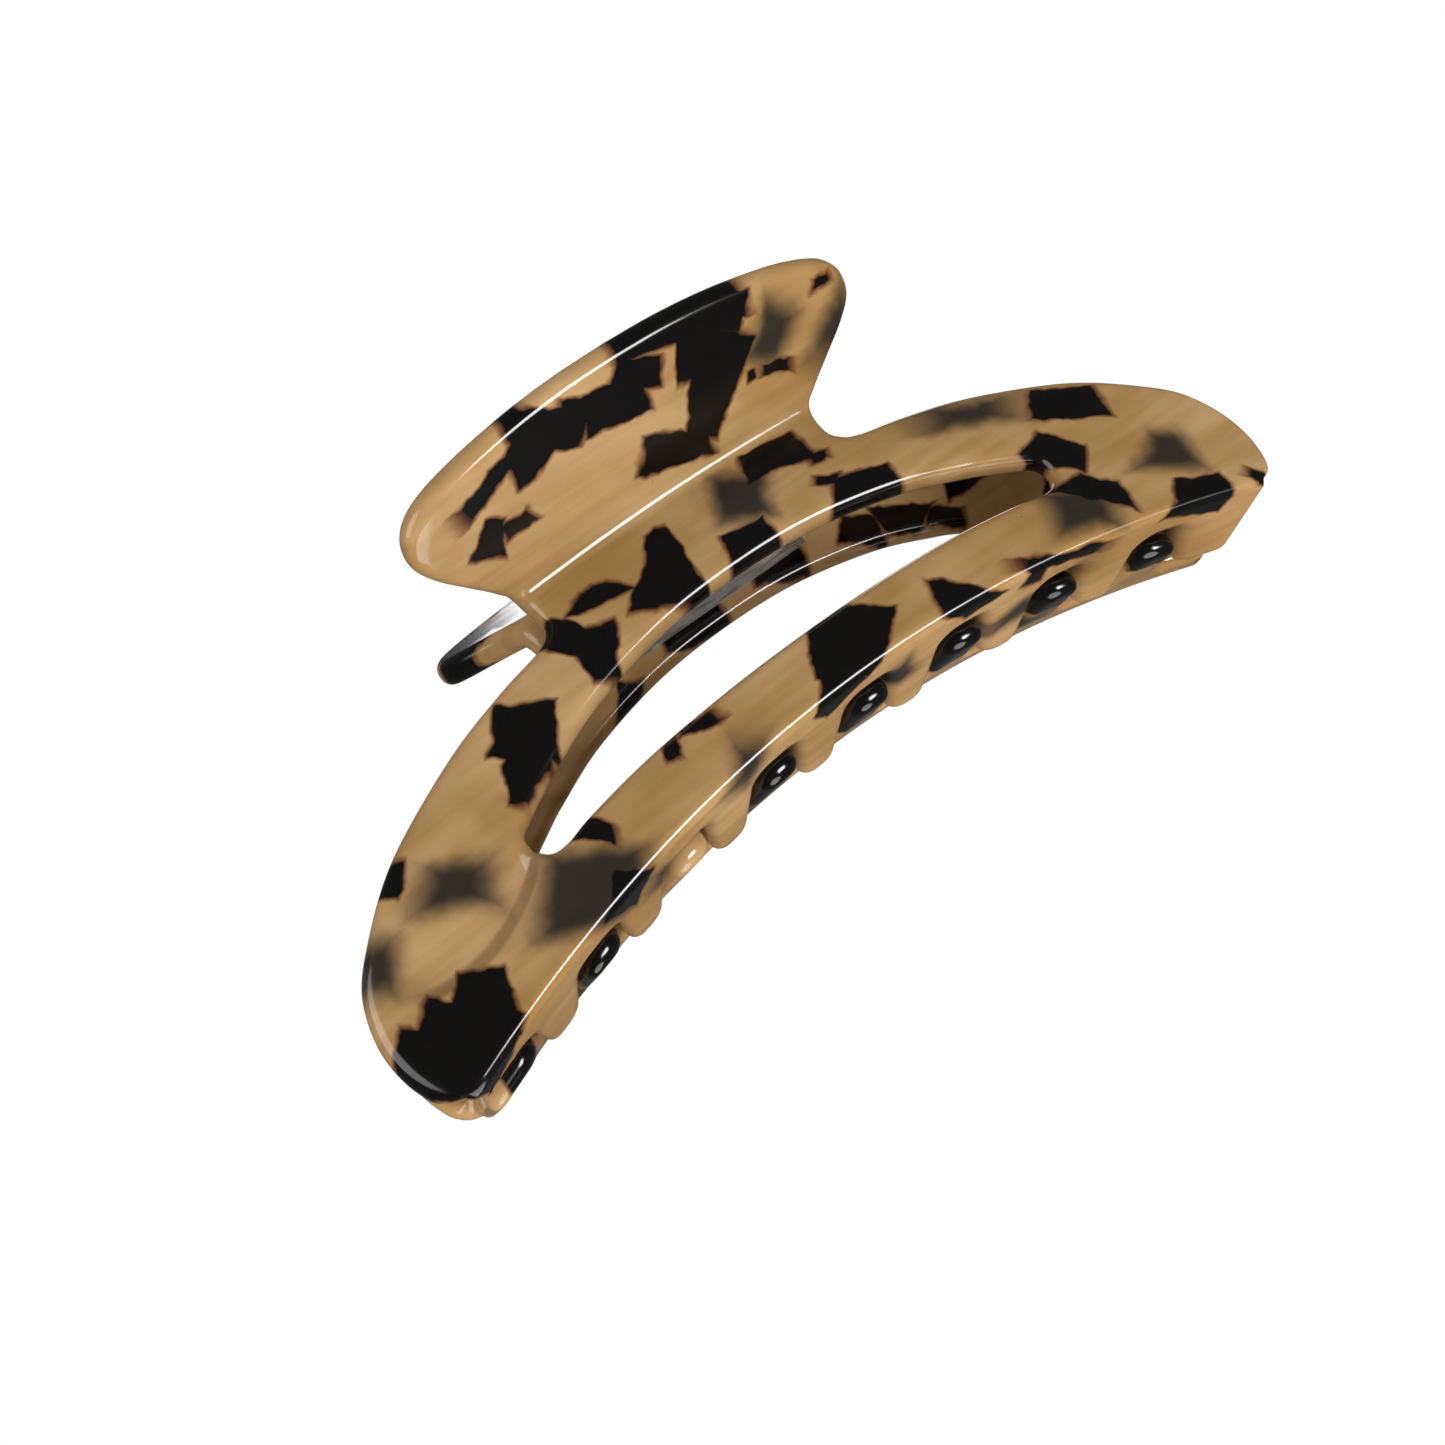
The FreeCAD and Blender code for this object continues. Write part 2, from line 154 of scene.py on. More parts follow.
class Jaw:
    """One bent jaw, in mm. It turns places on the flat sheet into places on the clip."""

    def __init__(self, sizes, crease_z):
        self.t = sizes.sheet / MM
        self.crease_z = crease_z
        self.neck_half = sizes.neck_half / MM
        self.fold_half = sizes.fold_half / MM
        self.body_drop = sizes.body_drop / MM
        self.plan_r = sizes.plan_radius / MM
        self.arch_r = sizes.arch_radius / MM
        self.bow_r = sizes.handle_bow / MM
        self.crease_r = sizes.crease_round / MM
        self.fold_r = sizes.fold_round / MM
        self.root = sizes.tooth_root / MM
        self.tip_clear = sizes.tip_clear / MM
        self.pitch = sizes.tooth_pitch / MM
        self.teeth = sizes.teeth
        self.dip = sizes.panel_dip
        lean = math.atan2(self.fold_half - self.neck_half, self.body_drop)
        handle = sizes.handle_lean
        self.wall_down = Vector((-math.sin(lean), -math.cos(lean)))
        self.wall_in = Vector((math.cos(lean), -math.sin(lean)))
        self.handle_up = Vector((-math.sin(handle), math.cos(handle)))
        self.handle_in = Vector((math.cos(handle), math.sin(handle)))
        self.panel_on = Vector((math.cos(self.dip), -math.sin(self.dip)))
        self.panel_in = Vector((math.sin(self.dip), math.cos(self.dip)))
        self.crease_turn = handle + lean
        self.fold_turn = math.pi / 2 + lean - self.dip
        self.wall_angle = -lean
        self.crease_run = self.crease_r * math.tan(self.crease_turn / 2)
        self.crease_length = (self.crease_r + self.t / 2) * self.crease_turn
        self.stretch = self.crease_length / 2 - self.crease_run
        self.zone = self.t * math.tan(self.fold_turn / 2) + FOLD_ZONE_EXTRA
        self.mid_fold = self.section(0.0)["fold_down"]

    def section(self, x):
        """Where the handle, wall and panel faces meet in the plane across the clip at x."""
        top = Vector((-self.neck_half, self.crease_z))
        low = Vector((-self.fold_half, self.crease_z - self.body_drop))
        wall = top + self.wall_in * (x * x / (2 * self.plan_r))
        handle = top - self.handle_in * (x * x / (2 * self.bow_r))
        panel = low - self.panel_in * (x * x / (2 * self.arch_r))
        crease_down, crease_up = meet(wall, self.wall_down, handle, self.handle_up)
        fold_down, fold_on = meet(wall, self.wall_down, panel, self.panel_on)
        return {"wall": wall, "handle": handle, "panel": panel, "crease_down": crease_down,
                "crease_up": crease_up, "fold_down": fold_down, "fold_on": fold_on}

    def flat_fold(self, x):
        """Height of the fold line on the flat sheet."""
        return -self.section(x)["fold_down"] - self.stretch

    def flat_panel(self, x, reach):
        """Height on the flat sheet of a place on the panel, at a reach from the panel's origin line."""
        return self.flat_fold(x) - (reach - self.section(x)["fold_on"])

    def tip_reach(self, x):
        """Reach of a tooth tip, just short of the other jaw's notches."""
        room = 2 * self.fold_half - x * x / (2 * self.plan_r) - self.root - self.tip_clear
        slant = 2 * self.t * math.sin(self.dip)
        arch = math.sin(self.dip) * x * x / (2 * self.arch_r)
        return (room - slant + arch) / math.cos(self.dip)

    def round_corner(self, corner, radius, q):
        """A point at a signed distance q along the fold's path, its corner rounded."""
        run = radius * math.tan(self.fold_turn / 2)
        if q <= -run:
            return corner + self.wall_down * q
        if q >= run:
            return corner + self.panel_on * q
        centre = corner - self.wall_down * run + self.wall_in * radius
        angle = math.pi + self.wall_angle + self.fold_turn * (q + run) / (2 * run)
        return centre + Vector((math.cos(angle), math.sin(angle))) * radius

    def bend(self, x, v, n):
        """Place on the clip of a place on the flat sheet: v is up the sheet, n is through it."""
        cut = self.section(x)
        down = -v - self.stretch
        past = cut["crease_down"] + self.crease_run - down
        if past > self.crease_length:
            up = cut["crease_up"] + self.crease_run + past - self.crease_length
            spot = cut["handle"] + self.handle_up * up + self.handle_in * n
        elif past > 0:
            start = cut["wall"] + self.wall_down * (cut["crease_down"] + self.crease_run)
            angle = self.wall_angle + self.crease_turn * past / self.crease_length
            centre = start - self.wall_in * self.crease_r
            spot = centre + Vector((math.cos(angle), math.sin(angle))) * (self.crease_r + n)
        else:
            q = down - cut["fold_down"]
            if q < -self.zone:
                spot = cut["wall"] + self.wall_down * down + self.wall_in * n
            elif q > self.zone:
                spot = cut["panel"] + self.panel_on * (cut["fold_on"] + q) + self.panel_in * n
            else:
                spot = self.fold(cut, q, n)
        return Vector((x, spot.x, spot.y)) * MM

    def fold(self, cut, q, n):
        """The sheet close to the fold, where its inner face is squeezed into the corner."""
        setback = self.t * math.tan(self.fold_turn / 2)
        corner = cut["wall"] + self.wall_down * cut["fold_down"]
        outer = self.round_corner(corner, self.fold_r, q)
        inner_corner = corner - self.wall_down * setback + self.wall_in * self.t
        left = self.zone - setback
        share = abs(q) / self.zone
        rest = 1 - FOLD_SQUEEZE
        power = (self.zone / left - FOLD_SQUEEZE) / rest
        squeezed = math.copysign(left * (FOLD_SQUEEZE * share + rest * share ** power), q)
        inner = self.round_corner(inner_corner, 0.5 * self.fold_r, squeezed)
        return outer.lerp(inner, n / self.t)


def meet(p, along_p, q, along_q):
    """Distances along two lines in a plane to where they cross."""
    gap = q - p
    cross = along_p.x * along_q.y - along_p.y * along_q.x
    return ((gap.x * along_q.y - gap.y * along_q.x) / cross,
            (gap.x * along_p.y - gap.y * along_p.x) / cross)


# ---------------------------------------------------------------- the flat pattern of a jaw

HANDLE_EDGE = [(0, 18.2), (6, 18.05), (12, 17.5), (18, 16.5), (22, 15.5), (25.2, 14.2), (27.1, 12.5),
               (27.8, 10.4), (27.5, 8.4), (26.0, 6.1), (23.7, 3.6), (21.5, 1.2), (20.0, -1.0)]
SHOULDER_EDGE = [(19.3, 3.3), (19.8, 5.0), (21.6, 6.1), (27.0, 7.4), (34.0, 9.6), (41.5, 13.0),
                 (46.6, 16.0), (51.2, 20.0), (54.6, 24.0), (56.1, 28.8), (55.9, 33.4), (54.3, 37.5)]


def curve_through(points, step):
    """Evenly spaced places on a smooth curve through a few points."""
    placed = [Vector(p) for p in points]
    ends = [2 * placed[0] - placed[1]] + placed + [2 * placed[-1] - placed[-2]]
    out = []
    for i in range(1, len(ends) - 2):
        a, b, c, d = ends[i - 1:i + 3]
        pieces = max(1, round((c - b).length / step))
        for k in range(pieces):
            s = k / pieces
            out.append(0.5 * (2 * b + (c - a) * s + (2 * a - 5 * b + 4 * c - d) * s * s
                              + (3 * b - a - 3 * c + d) * s ** 3))
    out.append(placed[-1])
    return out


def rounded(corners, step):
    """Places along a line of (x, y, radius) corners, each corner rounded, the ends left sharp."""
    path = [Vector(corners[0][:2])]
    for i in range(1, len(corners) - 1):
        here, r = Vector(corners[i][:2]), corners[i][2]
        back = (Vector(corners[i - 1][:2]) - here).normalized()
        on = (Vector(corners[i + 1][:2]) - here).normalized()
        half_angle = back.angle(on) / 2
        centre = here + (back + on).normalized() * r / math.sin(half_angle)
        start = here + back * r / math.tan(half_angle)
        turn = (start - centre).angle_signed(here + on * r / math.tan(half_angle) - centre)
        bits = max(3, round(abs(turn) * r / step))
        for k in range(bits + 1):
            spoke = (start - centre).copy()
            spoke.rotate(Matrix.Rotation(-turn * k / bits, 2))
            path.append(centre + spoke)
    path.append(Vector(corners[-1][:2]))
    out = []
    for a, b in zip(path, path[1:]):
        pieces = max(1, round((b - a).length / step))
        out += [a.lerp(b, k / pieces) for k in range(pieces)]
    return out + [path[-1]]


def tooth_line(jaw):
    """Edge of the toothed panel from the right end to the left, as (x, reach) places."""
    side = END_X - END_INSET
    first = -(jaw.teeth / 2 - FIRST_TOOTH) * jaw.pitch
    corners = [(END_X, jaw.section(END_X)["fold_on"] + END_EDGE, 0.0)]
    for k in reversed(range(jaw.teeth)):
        x = first + k * jaw.pitch
        right_root, left_root = x + TOOTH_ROOT_HALF, x - TOOTH_ROOT_HALF
        right_tip, left_tip = x + TOOTH_TIP_HALF, x - TOOTH_TIP_HALF
        if k == jaw.teeth - 1:
            right_tip = max(right_tip, side)
        else:
            corners.append((right_root, jaw.section(right_root)["fold_on"] + jaw.root, NOTCH_ROUND))
        tip = jaw.tip_reach(max(-left_tip, right_tip))
        corners.append((right_tip, tip, TIP_ROUND))
        corners.append((left_tip, tip, TIP_ROUND))
        corners.append((left_root, jaw.section(left_root)["fold_on"] + jaw.root, NOTCH_ROUND))
    corners.append((-side, jaw.section(side)["fold_on"] + jaw.root, 1.0))
    corners.append((-END_X, jaw.section(END_X)["fold_on"] + END_EDGE, 0.0))
    return rounded(corners, TOOTH_STEP)


def jaw_outline(jaw):
    """Outline of the flat sheet, clockwise from the middle of the handle's top edge."""
    lift = jaw.stretch
    side = [(x, h + lift) for x, h in HANDLE_EDGE]
    side += [(x, -s - lift) for x, s in SHOULDER_EDGE]
    side.append((END_X + 0.15, jaw.flat_fold(END_X) + 0.2))
    right = curve_through(side, OUTLINE_STEP)
    teeth = [Vector((x, jaw.flat_panel(x, reach))) for x, reach in tooth_line(jaw)]
    left = [Vector((-p.x, p.y)) for p in reversed(right[1:])]
    return right + teeth + left


def slot_outline(jaw):
    """Outline of the crescent slot, from its left end over the top to the right and back."""
    over = [(-34.4, 23.3), (-34.3, 21.4), (-32.7, 20.2), (-30.0, 18.7), (-27.0, 17.2), (-20.0, 14.4),
            (-10.0, 12.2), (0.0, 11.6), (10.0, 12.2), (20.0, 14.4), (27.0, 17.2), (30.0, 18.7),
            (32.7, 20.2), (34.3, 21.4), (34.4, 23.3)]
    under = [(34.4, 23.3), (33.2, 24.6), (31.3, 24.7), (28.0, 23.9), (20.0, 22.7), (10.0, 22.0), (0.0, 21.8),
             (-10.0, 22.0), (-20.0, 22.7), (-28.0, 23.9), (-31.3, 24.7), (-33.2, 24.6), (-34.4, 23.3)]
    top = curve_through([(x, -s - jaw.stretch) for x, s in over], OUTLINE_STEP)
    low = curve_through([(x, -s - jaw.stretch) for x, s in under], OUTLINE_STEP)
    return top, low[1:-1]


def nearest(verts, spot):
    """Index of the vertex closest to a place."""
    return min(range(len(verts)), key=lambda i: (verts[i].co.xy - spot).length)


def flat_jaw(jaw):
    """Flat slab of a jaw with its slot, as an upper and a lower face that share a seam at each end."""
    bm = bmesh.new()
    ring = [bm.verts.new((p.x, p.y, 0)) for p in jaw_outline(jaw)]
    over, under = slot_outline(jaw)
    top = [bm.verts.new((p.x, p.y, 0)) for p in over]
    low = [bm.verts.new((p.x, p.y, 0)) for p in under]
    right = nearest(ring, over[-1] + Vector((30, -8)))
    left = nearest(ring, over[0] + Vector((-30, -8)))
    bm.faces.new(ring[:right + 1] + top[::-1] + ring[left:])
    bm.faces.new(ring[right:left + 1] + [top[0]] + low[::-1] + [top[-1]])
    slab = bmesh.ops.extrude_face_region(bm, geom=bm.faces[:])
    raised = [g for g in slab["geom"] if isinstance(g, bmesh.types.BMVert)]
    bmesh.ops.translate(bm, verts=raised, vec=(0, 0, jaw.t))
    bmesh.ops.recalc_face_normals(bm, faces=bm.faces)
    return bm


def round_rim(bm, width):
    """Rounds the whole rim of the flat slab and of its slot."""
    rim = [e for e in bm.edges if len(e.link_faces) == 2 and e.calc_face_angle(0) > 1.0
           and abs(e.verts[0].co.z - e.verts[1].co.z) < 1e-4]
    bmesh.ops.bevel(bm, geom=rim, offset=width, offset_type="OFFSET", affect="EDGES", segments=5,
                    profile=0.5, material=-1, clamp_overlap=False)


def cut_grid(bm, jaw):
    """Cuts the two broad faces finely enough to bend, closest at the crease and the fold.

    The fold line is curved on the flat sheet, so the sheet is first slid straight below the
    crease, from `start` down to `end`, and slid back once the level cuts are made."""
    start, end = 2.5, 24.5

    def straighten(x, v):
        drop = jaw.section(x)["fold_down"] - jaw.mid_fold
        g = (v - drop * start / (end - start)) / (1 + drop / (end - start))
        if g > -start:
            return v
        return g if g > -end else v + drop

    def relax(x, g):
        drop = jaw.section(x)["fold_down"] - jaw.mid_fold
        share = min(max((-g - start) / (end - start), 0.0), 1.0)
        return g - drop * share

    for v in bm.verts:
        v.co.y = straighten(v.co.x, v.co.y)
    levels = [4, 7, 10, 13, 16, -5, -7.5, -10, -12.5, -15, -17.5, -20, -22.5]
    half = jaw.crease_length / 2
    levels += [-half - 0.9 + k * (2 * half + 1.8) / 20 for k in range(21)]
    fold = -jaw.mid_fold - jaw.stretch
    for q in (0.0, 0.25, 0.5, 0.75, 1.0, 1.3, 1.7, 2.2, 2.8, 3.5, jaw.zone):
        levels += [fold + q, fold - q] if q else [fold]
    levels += [fold - q for q in (6, 8, 10, 12, 14, 16)]
    planes = [((0, level, 0), (0, 1, 0)) for level in levels]
    planes += [((x, 0, 0), (1, 0, 0)) for x in range(-56, 57, COLUMN_STEP)]
    for spot, normal in planes:
        broad = [f for f in bm.faces if abs(f.normal.z) > 0.999]
        edges = {e for f in broad for e in f.edges}
        bmesh.ops.bisect_plane(bm, geom=broad + list(edges), dist=0.004, plane_co=spot, plane_no=normal)
    for v in bm.verts:
        v.co.y = relax(v.co.x, v.co.y)


def map_sheet(bm):
    """Keeps each place's position on the flat sheet as a map for the flakes."""
    layer = bm.loops.layers.uv.new(SHEET_MAP)
    for face in bm.faces:
        for loop in face.loops:
            loop[layer].uv = (SHEET_CENTRE[0] + loop.vert.co.x / SHEET_SPAN,
                              SHEET_CENTRE[1] + loop.vert.co.y / SHEET_SPAN)


def bend_jaw(bm, jaw):
    """Bends the flat slab into the jaw."""
    for v in bm.verts:
        v.co = jaw.bend(*v.co)
    bmesh.ops.recalc_face_normals(bm, faces=bm.faces)
    for face in bm.faces:
        face.smooth = True


def add_piece(name, bm, body, nodes, material):
    """Turns a bmesh into a finished piece, on a body if it has just one, standing for its CAD nodes."""
    mesh = bpy.data.meshes.new(name)
    bm.to_mesh(mesh)
    bm.free()
    piece = bpy.data.objects.new(name, mesh)
    bpy.context.scene.collection.objects.link(piece)
    piece.data.materials.append(material)
    if body:
        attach(piece, body)
    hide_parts(*nodes)
    return piece


# ---------------------------------------------------------------- material building

def new_group(name, inputs, outputs):
    """Empty shader node group with named sockets; returns the tree and its two ends."""
    tree = bpy.data.node_groups.new(name, "ShaderNodeTree")
    for label, kind, default in inputs:
        socket = tree.interface.new_socket(name=label, in_out="INPUT", socket_type=kind)
        if default is not None:
            socket.default_value = default
    for label, kind in outputs:
        tree.interface.new_socket(name=label, in_out="OUTPUT", socket_type=kind)
    return tree, tree.nodes.new("NodeGroupInput"), tree.nodes.new("NodeGroupOutput")


def node(tree, kind, values=None, links=None, **settings):
    """Adds a node, sets its options and values, and links outputs into it."""
    made = tree.nodes.new(kind)
    for key, value in settings.items():
        setattr(made, key, value)
    for key, value in (values or {}).items():
        made.inputs[key].default_value = value
    for key, source in (links or {}).items():
        tree.links.new(source, made.inputs[key])
    return made


def maths(tree, operation, *terms):
    """Math node whose terms are numbers or sockets; returns its output."""
    made = node(tree, "ShaderNodeMath", operation=operation)
    for i, term in enumerate(terms):
        if isinstance(term, bpy.types.NodeSocket):
            tree.links.new(term, made.inputs[i])
        else:
            made.inputs[i].default_value = term
    return made.outputs[0]


def ramp(tree, value, low, high, to_low=0.0, to_high=1.0):
    """Smooth change from one value to another as the input passes between two others."""
    made = node(tree, "ShaderNodeMapRange", {"From Min": low, "From Max": high, "To Min": to_low,
                                             "To Max": to_high}, {"Value": value},
                interpolation_type="SMOOTHSTEP")
    return made.outputs["Result"]


def mix(tree, factor, a, b):
    """Colour mix; the factor and either colour may be a socket or a value."""
    made = node(tree, "ShaderNodeMix", data_type="RGBA")
    for index, term in ((0, factor), (6, a), (7, b)):
        if isinstance(term, bpy.types.NodeSocket):
            tree.links.new(term, made.inputs[index])
        else:
            made.inputs[index].default_value = term if index == 0 else (*term, 1.0)
    return made.outputs[2]


def flake_group():
    """Signed distance to one angular flake, also used for the painted shade patches on the back tooth tips: a
    box that narrows towards one end.
    """
    tree, ins, outs = new_group("Flake", [
        ("Place", "NodeSocketVector", None), ("Centre", "NodeSocketVector", None),
        ("Turn", "NodeSocketVector", None), ("Half size", "NodeSocketVector", (1, 1, 1)),
        ("Taper", "NodeSocketFloat", 0.0), ("Scale", "NodeSocketFloat", 1.0),
        ("Nearest so far", "NodeSocketFloat", 99.0)], [("Distance", "NodeSocketFloat")])
    local = node(tree, "ShaderNodeMapping", links={
        "Vector": ins.outputs["Place"], "Location": ins.outputs["Centre"],
        "Rotation": ins.outputs["Turn"], "Scale": ins.outputs["Half size"]}, vector_type="TEXTURE")
    parts = node(tree, "ShaderNodeSeparateXYZ", links={0: local.outputs[0]})
    across = maths(tree, "ABSOLUTE", parts.outputs[0])
    along = maths(tree, "ABSOLUTE", parts.outputs[1])
    narrowed = maths(tree, "MULTIPLY_ADD", parts.outputs[1], ins.outputs["Taper"], across)
    reach = maths(tree, "MAXIMUM", narrowed, along)
    distance = maths(tree, "MULTIPLY", maths(tree, "SUBTRACT", reach, 1.0), ins.outputs["Scale"])
    tree.links.new(maths(tree, "MINIMUM", distance, ins.outputs["Nearest so far"]), outs.inputs[0])
    return tree


def sheet_group():
    """Place on the flat sheet in mm, with a slight wander so that no flake edge is ruled."""
    tree, ins, outs = new_group("Sheet place", [
        ("Wander", "NodeSocketFloat", 0.5), ("Seed", "NodeSocketFloat", 0.0)], [
        ("Place", "NodeSocketVector"), ("Straight", "NodeSocketVector")])
    uv = node(tree, "ShaderNodeUVMap", uv_map=SHEET_MAP)
    centre = node(tree, "ShaderNodeVectorMath", {1: (*SHEET_CENTRE, 0.0)}, {0: uv.outputs[0]},
                  operation="SUBTRACT")
    place = node(tree, "ShaderNodeVectorMath", {3: SHEET_SPAN}, {0: centre.outputs[0]}, operation="SCALE")
    bent = place.outputs[0]
    for scale, share in ((0.22, 1.9), (0.75, 0.7)):
        noise = node(tree, "ShaderNodeTexNoise", {"Scale": scale, "Detail": 1.0},
                     {"Vector": place.outputs[0], "W": ins.outputs["Seed"]}, noise_dimensions="4D")
        middle = node(tree, "ShaderNodeVectorMath", {1: (0.5, 0.5, 0.5)}, {0: noise.outputs["Color"]},
                      operation="SUBTRACT")
        sized = node(tree, "ShaderNodeVectorMath", links={
            0: middle.outputs[0], 3: maths(tree, "MULTIPLY", ins.outputs["Wander"], share * 2)},
            operation="SCALE")
        total = node(tree, "ShaderNodeVectorMath", links={0: bent, 1: sized.outputs[0]}, operation="ADD")
        bent = total.outputs[0]
    tree.links.new(bent, outs.inputs["Place"])
    tree.links.new(place.outputs[0], outs.inputs["Straight"])
    return tree


def acetate_group(colours):
    """Colour of the acetate from the distances to its near and deep flakes; the near ones include the painted
    shade patches on the back tooth tips.
    """
    tree, ins, outs = new_group("Acetate", [
        ("Straight", "NodeSocketVector", None), ("Near", "NodeSocketFloat", 9.0),
        ("Deep", "NodeSocketFloat", 9.0), ("Scatter", "NodeSocketFloat", 0.12),
        ("Seed", "NodeSocketFloat", 0.0)], [
        ("Color", "NodeSocketColor"), ("Dark", "NodeSocketFloat"), ("Height", "NodeSocketFloat")])
    place, seed = ins.outputs["Straight"], ins.outputs["Seed"]
    cloud = node(tree, "ShaderNodeTexNoise", {"Scale": 0.055, "Detail": 2.0, "Distortion": 0.8},
                 {"Vector": place, "W": seed}, noise_dimensions="4D")
    stretched = node(tree, "ShaderNodeMapping", {"Rotation": (0, 0, 0.5), "Scale": (0.05, 0.6, 1)},
                     {"Vector": place})
    streak = node(tree, "ShaderNodeTexNoise", {"Scale": 1.0, "Detail": 2.0},
                  {"Vector": stretched.outputs[0], "W": seed}, noise_dimensions="4D")
    haze = maths(tree, "MULTIPLY_ADD", streak.outputs[0], 0.45, cloud.outputs[0])
    body = mix(tree, ramp(tree, haze, 0.5, 1.0), tuple(colours.honey), tuple(colours.cream))

    small = node(tree, "ShaderNodeTexVoronoi", {"Scale": 0.13, "Randomness": 1.0},
                 {"Vector": place, "W": seed}, voronoi_dimensions="4D", feature="DISTANCE_TO_EDGE")
    chance = node(tree, "ShaderNodeTexVoronoi", {"Scale": 0.13, "Randomness": 1.0},
                  {"Vector": place, "W": seed}, voronoi_dimensions="4D", feature="F1")
    pick = node(tree, "ShaderNodeSeparateColor", links={0: chance.outputs["Color"]})
    chosen = maths(tree, "LESS_THAN", pick.outputs[0], ins.outputs["Scatter"])
    inset = maths(tree, "MULTIPLY_ADD", pick.outputs[1], 0.18, 0.03)
    inside = maths(tree, "SUBTRACT", inset, small.outputs["Distance"])
    scattered = maths(tree, "ADD", maths(tree, "MULTIPLY", inside, 7.0),
                      maths(tree, "MULTIPLY", maths(tree, "SUBTRACT", 1.0, chosen), 50.0))
    near = maths(tree, "MINIMUM", ins.outputs["Near"], scattered)

    deep = ramp(tree, ins.outputs["Deep"], 1.9, -1.1, 0.0, 0.97)
    body = mix(tree, deep, body, tuple(colours.deep_flake))
    speck = node(tree, "ShaderNodeTexNoise", {"Scale": 1.3, "Detail": 1.0}, {"Vector": place, "W": seed},
                 noise_dimensions="4D")
    body = mix(tree, ramp(tree, speck.outputs[0], 0.76, 0.80, 0.0, 0.5), body, tuple(colours.flake_edge))
    edge = ramp(tree, near, 0.60, 0.18, 0.0, 0.85)
    edge = maths(tree, "MULTIPLY", edge, maths(tree, "SUBTRACT", 1.0, deep))
    body = mix(tree, edge, body, tuple(colours.flake_edge))
    # Black core of each flake, and of each painted shade patch on the back tooth tips
    core = ramp(tree, near, 0.26, 0.02)
    body = mix(tree, core, body, tuple(colours.flake_and_shade))
    tree.links.new(body, outs.inputs["Color"])
    tree.links.new(maths(tree, "MAXIMUM", core, maths(tree, "MULTIPLY", deep, 0.8)), outs.inputs["Dark"])
    wave = node(tree, "ShaderNodeTexNoise", {"Scale": 0.16, "Detail": 1.0}, {"Vector": place, "W": seed},
                noise_dimensions="4D")
    tree.links.new(wave.outputs[0], outs.inputs["Height"])
    return tree


# Flakes of the front jaw: (x, up the flat sheet, half width, half height, lean in degrees, taper)
FRONT_NEAR = [
    (-50.4, -35.6, 4.9, 4.0, -50, 0.10), (-46.6, -33.6, 2.6, 3.3, -30, 0.15), (-53.6, -33.6, 2.0, 2.4, -35, 0),
    (-27.9, -13.7, 3.0, 2.8, -35, 0.05), (-30.7, -17.6, 1.5, 2.7, -45, -0.40),
    (-19.0, -7.6, 2.7, 1.6, -52, 0.2), (-17.0, -11.3, 1.7, 2.7, -22, -0.3), (-13.2, -6.0, 2.4, 1.1, -12, 0.5),
    (-5.6, -7.9, 2.5, 4.4, -30, 0.75), (-46.8, -17.6, 1.4, 1.8, -40, 0), (-28.8, -26.6, 1.8, 0.9, -58, 0.3),
    (12.2, -3.9, 3.5, 1.9, -12, 0.1), (3.2, -11.0, 2.6, 2.0, -10, 0.1), (17.2, -13.4, 3.5, 1.9, -20, 0.2),
    (15.8, -7.0, 0.8, 0.4, -20, 0), (14.6, -10.0, 1.1, 0.5, -35, 0),
    (42.4, -18.4, 3.8, 2.0, -32, 0.15), (36.6, -22.6, 2.7, 1.8, -60, 0.2), (36.2, -29.0, 3.0, 1.4, -52, 0.4),
    (44.8, -37.0, 3.3, 2.5, -30, 0.2), (51.8, -39.2, 1.4, 0.5, -65, 0), (2.9, -26.6, 3.9, 4.3, -42, -0.18),
    (-1.8, -31.2, 2.2, 2.6, -55, -0.35), (15.4, -31.0, 3.3, 1.9, -50, -0.4), (-14.4, -24.1, 1.5, 0.6, -5, 0.2),
    (-18.0, -24.8, 0.6, 1.0, -20, 0), (27.5, -33.5, 4.2, 0.6, -26, 0), (24.2, -33.2, 0.8, 1.5, -20, 0),
    (7.6, 18.4, 6.9, 2.3, -12, 0.1), (9.2, 9.4, 2.7, 5.4, -34, -0.25), (-2.0, 13.4, 3.4, 1.9, -12, 0.1),
    (-9.8, 15.0, 3.9, 1.9, -24, -0.2), (-16.6, 14.2, 4.3, 0.7, 20, 0), (2.8, 5.2, 3.9, 1.8, -18, 0.1),
    (-19.6, 8.3, 1.4, 1.9, -35, 0.2), (-16.4, 8.0, 1.5, 0.8, 10, 0), (17.0, 7.0, 1.4, 0.5, -20, 0),
    (13.8, 8.0, 0.5, 0.5, 0, 0), (24.4, 13.3, 0.6, 0.3, -10, 0),
    (1.2, 15.4, 2.6, 1.6, -25, 0.1), (-5.4, 15.0, 2.6, 1.2, -20, 0.2), (7.6, 14.0, 1.6, 2.6, -10, 0.1),
    (12.4, 16.2, 2.4, 1.9, -30, 0), (-12.5, 13.6, 2.2, 1.4, 15, 0),
    (-29.9, -34.6, 2.2, 2.4, -40, 0.1),
    (-9.5, -49.0, 2.4, 1.6, 20, 0.2), (21.5, -50.5, 1.6, 2.6, 5, 0), (-38.5, -52.0, 1.8, 2.0, 30, 0.2),
]
FRONT_DEEP = [
    (-52.4, -24.2, 1.8, 2.2, -30, 0), (-42.0, -22.6, 3.1, 2.0, -35, 0.1), (-32.4, -31.6, 5.0, 3.8, -35, 0.1),
    (5.9, -5.9, 2.8, 2.8, -30, 0), (32.6, -12.8, 4.8, 1.5, -28, 0), (46.5, -30.0, 2.5, 2.3, -40, 0.5),
    (33.0, -29.8, 3.2, 2.4, -30, 0), (-13.4, -31.4, 1.4, 2.6, -35, 0), (17.3, 11.0, 2.1, 2.7, -40, 0),
    (25.0, 7.8, 1.6, 3.4, -45, 0), (24.0, -40.0, 5.0, 1.4, 10, 0), (-24.0, -38.0, 3.0, 1.6, -10, 0),
    (6.5, -37.0, 2.0, 2.0, 20, 0),
]
